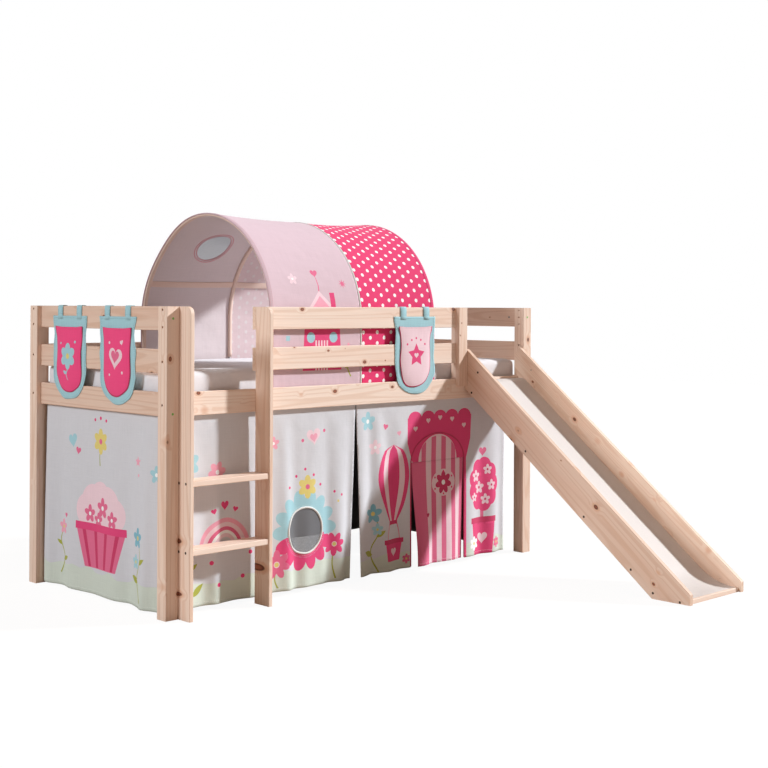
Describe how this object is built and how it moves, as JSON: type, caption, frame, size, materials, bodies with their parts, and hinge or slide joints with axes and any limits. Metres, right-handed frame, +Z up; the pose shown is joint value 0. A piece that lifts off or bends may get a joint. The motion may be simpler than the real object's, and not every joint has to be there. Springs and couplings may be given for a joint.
{
  "type": "loft bed with slide",
  "caption": "Mid-height child's loft bed in bare pine with ladder, slide, guard planks, cloth tunnel over the mattress, printed curtains round a den and hanging pockets.",
  "frame": {"origin": "on the floor, midway along the bed and midway between the slide's tip and the back of the posts", "axes": "+X along the bed from the ladder towards the slide, +Y from the slide towards the back of the bed, +Z up"},
  "size_m": [2.075, 2.147, 1.5399],
  "materials": {
    "pine": "bare, planed and sanded, with small brown knots",
    "beech": "bare, fluted",
    "zinc_steel": "zinc plated",
    "green_plastic": "moulded, matt",
    "white_laminate": "smooth white facing on thin board",
    "white_webbing": "woven tape",
    "white_cotton": "plain weave cover, lightly creased",
    "pale_pink_cotton": "printed plain weave cotton",
    "dotted_pink_cotton": "plain weave cotton printed with white dots",
    "white_rod": "drawn glass-fibre rod",
    "mesh": "fine knitted mesh",
    "off_white_cotton": "printed plain weave cotton, softly creased",
    "door_cotton": "printed plain weave cotton",
    "blue_grey_cotton": "plain weave cotton with bound edges",
    "hot_pink_cotton": "printed plain weave cotton",
    "blush_cotton": "printed plain weave cotton with a bound edge"
  },
  "bodies": {
    "bed": {"back_guard_top": "pine", "back_guard_middle": "pine", "back_bed_rail": "pine", "front_bed_rail": "pine", "left_end_plank_top": "pine", "left_end_plank_middle": "pine", "left_end_rail": "pine", "right_end_plank_top": "pine", "right_end_plank_middle": "pine", "right_end_rail": "pine", "post_front_left": "pine", "post_back_left": "pine", "post_front_right": "pine", "post_back_right": "pine", "front_guard_top": "pine", "front_guard_middle": "pine", "guard_post": "pine", "slat_ledger_front": "pine", "slat_ledger_back": "pine", "bed_slats": "pine", "ladder_rail_left": "pine", "ladder_rail_right": "pine", "ladder_tread_lower": "pine", "ladder_tread_upper": "pine", "slide_board_near": "pine", "slide_board_far": "pine", "slide_battens": "pine", "slide_top_batten": "pine", "slide_foot_batten": "pine", "slide_end_strip": "pine", "dowels": "beech", "frame_bolts": "zinc_steel", "barrel_nuts": "zinc_steel", "ladder_screws": "zinc_steel", "rail_screws": "zinc_steel", "slide_screws": "zinc_steel", "bolt_plugs": "green_plastic", "slide_chute": "white_laminate", "slat_straps": "white_webbing", "curtain_tapes": "white_webbing", "mattress": "white_cotton", "tunnel_cover_left": "pale_pink_cotton", "tunnel_cover_right": "dotted_pink_cotton", "tunnel_hoops": "white_rod", "tunnel_window_net": "mesh", "curtain_window_net": "mesh", "curtain_left_end": "off_white_cotton", "curtain_front_left": "off_white_cotton", "curtain_front_right": "off_white_cotton", "curtain_right_end": "off_white_cotton", "curtain_back": "off_white_cotton", "pocket_loops": "blue_grey_cotton"},
    "door": {"door_flap": "door_cotton"},
    "pocket_end_near": {"end_pocket_near_panel": "blue_grey_cotton", "end_pocket_near_pouch": "hot_pink_cotton"},
    "pocket_end_far": {"end_pocket_far_panel": "blue_grey_cotton", "end_pocket_far_pouch": "hot_pink_cotton"},
    "pocket_front": {"front_pocket_panel": "blue_grey_cotton", "front_pocket_pouch": "blush_cotton"}
  },
  "joints": [
    {"name": "door_swing", "type": "hinge", "parent": "bed", "child": "door", "pos_m": [0.4425, 0.1333, 0.47405], "axis": [1, 0, 0], "range_deg": [-60, 60]},
    {"name": "pocket_end_near_swing", "type": "hinge", "parent": "bed", "child": "pocket_end_near", "pos_m": [-1.0215, 0.4435, 1.11], "axis": [0, 1, 0], "range_deg": [0, 50]},
    {"name": "pocket_end_far_swing", "type": "hinge", "parent": "bed", "child": "pocket_end_far", "pos_m": [-1.0215, 0.7895, 1.11], "axis": [0, 1, 0], "range_deg": [0, 50]},
    {"name": "pocket_front_swing", "type": "hinge", "parent": "bed", "child": "pocket_front", "pos_m": [0.2715, 0.1095, 1.11], "axis": [-1, 0, 0], "range_deg": [0, 50]}
  ]
}
